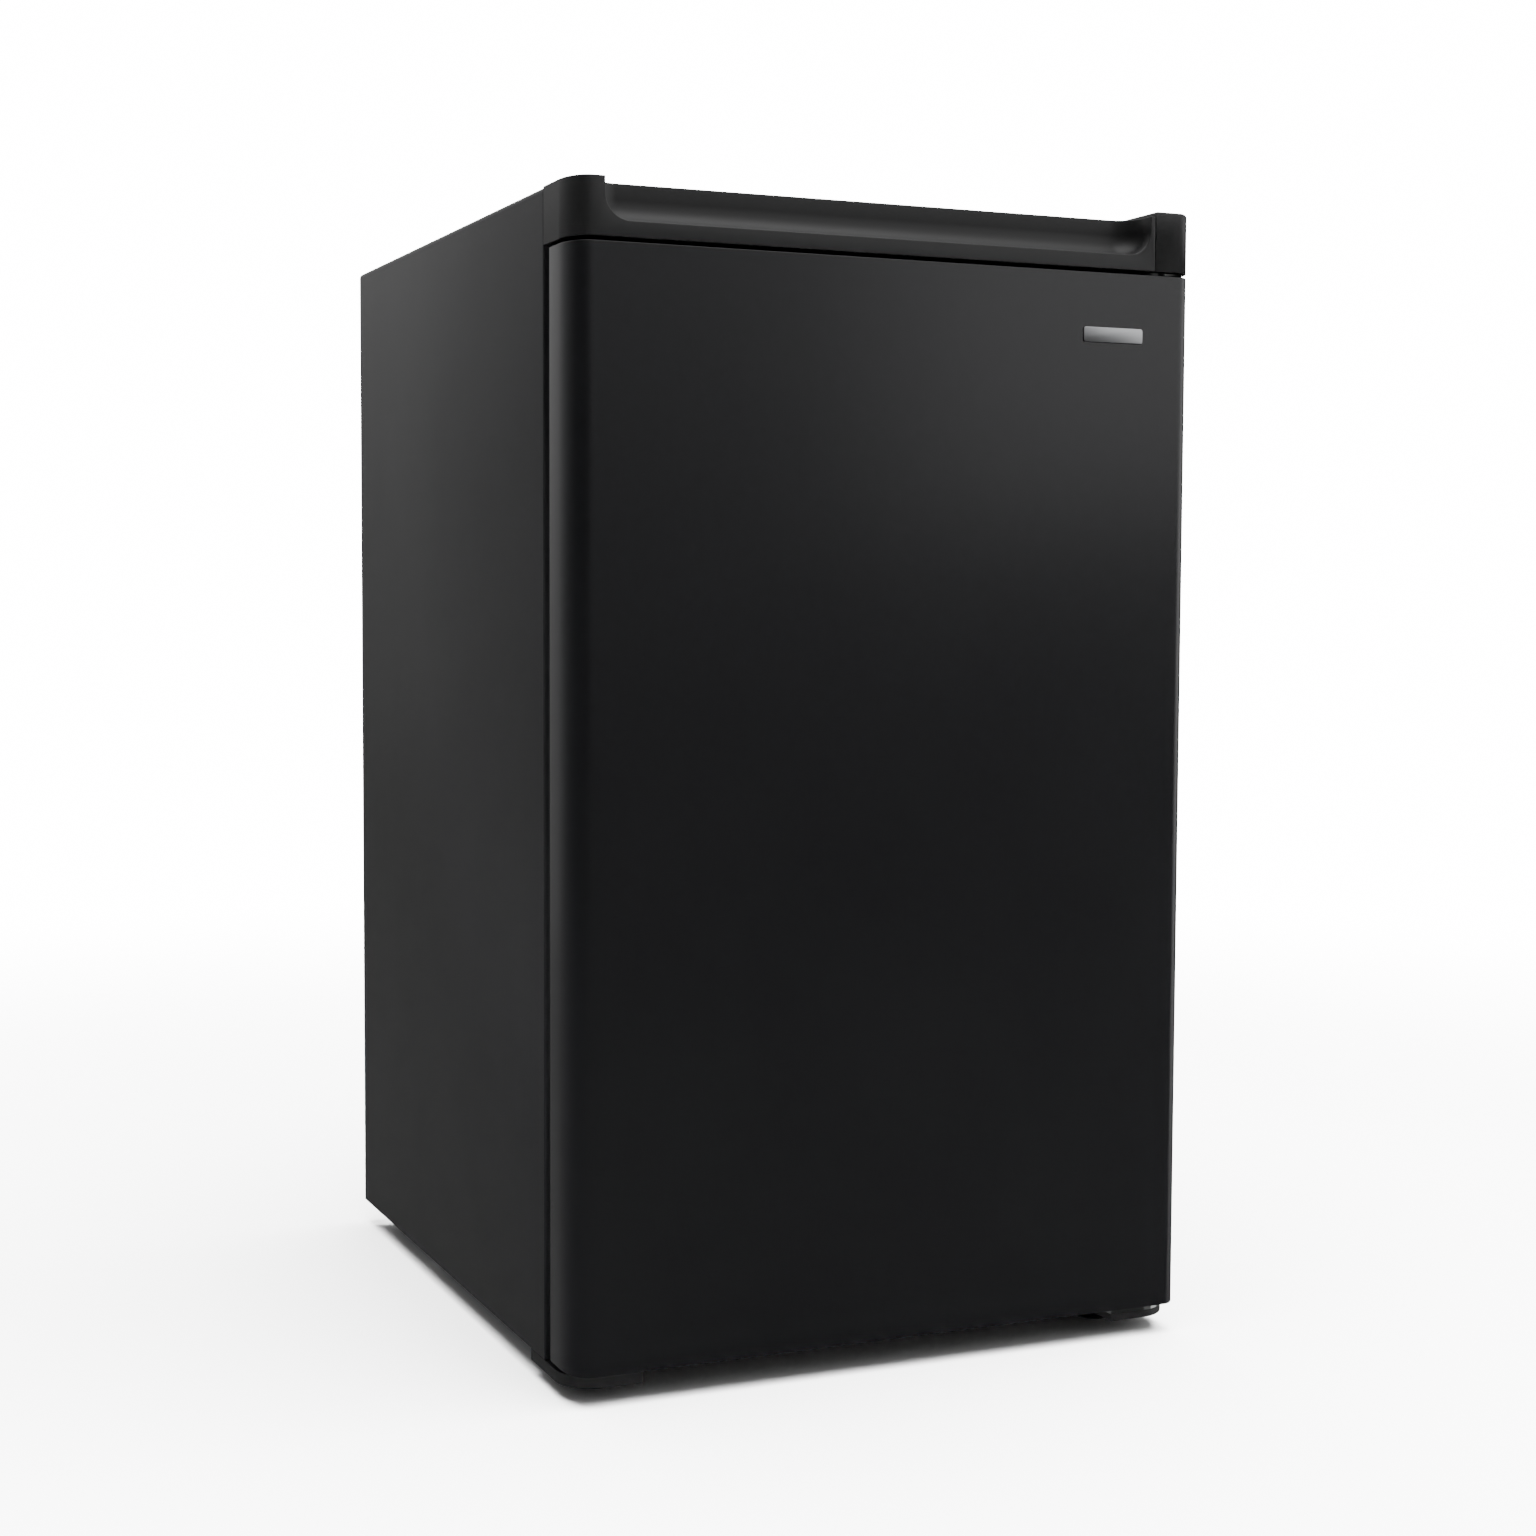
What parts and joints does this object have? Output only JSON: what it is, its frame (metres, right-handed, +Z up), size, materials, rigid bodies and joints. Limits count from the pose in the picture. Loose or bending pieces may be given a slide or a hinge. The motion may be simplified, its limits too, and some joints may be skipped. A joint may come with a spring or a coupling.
{
  "type": "compact refrigerator",
  "caption": "Black compact refrigerator with a right-hinged door, ice box with flap, glass shelves, crisper drawer, door racks and a compressor and condenser at the back.",
  "frame": {"origin": "on the floor under the middle of the refrigerator's overall box", "axes": "+Z up, -Y out of the front of the door, +X to the right as one faces the door"},
  "size_m": [0.492, 0.56, 0.844],
  "materials": {
    "black_enamel": "satin",
    "black_plastic": "satin",
    "white_liner": "satin",
    "gasket": "matte",
    "insulation": "matte",
    "zinc_steel": "satin",
    "aluminium": "satin",
    "copper": "polished",
    "black_rubber": "matte",
    "clear_plastic": "gloss",
    "shelf_glass": "polished",
    "chrome": "polished",
    "silver_print": "satin"
  },
  "bodies": {
    "cabinet": {"outer_shell": "black_enamel", "bottom_rail": "black_enamel", "base_pan": "zinc_steel", "back_panel": "zinc_steel", "cabinet_foam": "insulation", "inner_liner": "white_liner", "top_fascia": "black_plastic", "hinge_cover": "black_plastic", "top_hinge_plate": "zinc_steel", "top_hinge_pin": "zinc_steel", "corner_shoe_left": "black_plastic", "corner_shoe_right": "black_plastic", "bottom_hinge_plate": "zinc_steel", "bottom_hinge_pin": "zinc_steel", "rear_foot_left": "black_plastic", "rear_foot_right": "black_plastic", "compressor_plate": "zinc_steel", "cord_inlet": "black_rubber", "compressor": "black_enamel", "grommet_1": "black_rubber", "grommet_2": "black_rubber", "grommet_3": "black_rubber", "grommet_4": "black_rubber", "terminal_cover": "black_plastic", "condenser_tube": "black_enamel", "condenser_strap_left": "black_enamel", "condenser_strap_right": "black_enamel", "filter_drier": "copper", "discharge_pipe": "copper", "suction_pipe": "copper", "evaporator": "aluminium", "evaporator_hanger": "white_liner", "freezer_frame": "white_liner", "shelf_glass_upper": "shelf_glass", "shelf_glass_lower": "shelf_glass", "shelf_glass_crisper": "shelf_glass", "shelf_trim_upper": "white_liner", "shelf_trim_lower": "white_liner", "shelf_trim_crisper": "white_liner", "thermostat_housing": "white_liner"},
    "door": {"door_panel": "black_enamel", "door_cap_top": "black_plastic", "door_cap_bottom": "black_plastic", "door_foam": "insulation", "door_liner": "white_liner", "door_gasket": "gasket", "badge_plate": "silver_print", "hinge_bush_top": "clear_plastic", "hinge_bush_bottom": "clear_plastic", "door_rack_bottom": "clear_plastic", "door_rack_middle": "clear_plastic", "door_rack_top": "clear_plastic", "door_bar_bottom": "chrome", "door_bar_middle": "chrome"},
    "ice_flap": {"freezer_flap": "clear_plastic"},
    "tray": {"drip_tray": "clear_plastic"},
    "crisper": {"crisper_drawer": "clear_plastic"},
    "knob": {"thermostat_knob": "white_liner"},
    "left_foot": {"front_foot_left": "black_plastic"},
    "right_foot": {"front_foot_right": "black_plastic"}
  },
  "joints": [
    {"name": "door_hinge", "type": "hinge", "parent": "cabinet", "child": "door", "pos_m": [0.234, -0.2512, 0.4], "axis": [0, 0, 1], "range_deg": [0, 125]},
    {"name": "ice_flap_hinge", "type": "hinge", "parent": "cabinet", "child": "ice_flap", "pos_m": [0, -0.0833, 0.734], "axis": [-1, 0, 0], "range_deg": [0, 88]},
    {"name": "drip_tray_slide", "type": "slide", "parent": "cabinet", "child": "tray", "axis": [0, -1, 0], "range_m": [0, 0.095]},
    {"name": "crisper_slide", "type": "slide", "parent": "cabinet", "child": "crisper", "axis": [0, -1, 0], "range_m": [0, 0.12]},
    {"name": "thermostat_turn", "type": "hinge", "parent": "cabinet", "child": "knob", "pos_m": [0.1787, 0, 0.5345], "axis": [-1, 0, 0], "range_deg": [0, 270]},
    {"name": "left_foot_turn", "type": "hinge", "parent": "cabinet", "child": "left_foot", "pos_m": [-0.207, -0.214, 0], "axis": [0, 0, 1], "continuous": true},
    {"name": "right_foot_turn", "type": "hinge", "parent": "cabinet", "child": "right_foot", "pos_m": [0.207, -0.214, 0], "axis": [0, 0, 1], "continuous": true}
  ],
  "couplings": [
    {"joint": "crisper_slide", "follows": "door_hinge", "m_per_rad": 0.055}
  ]
}
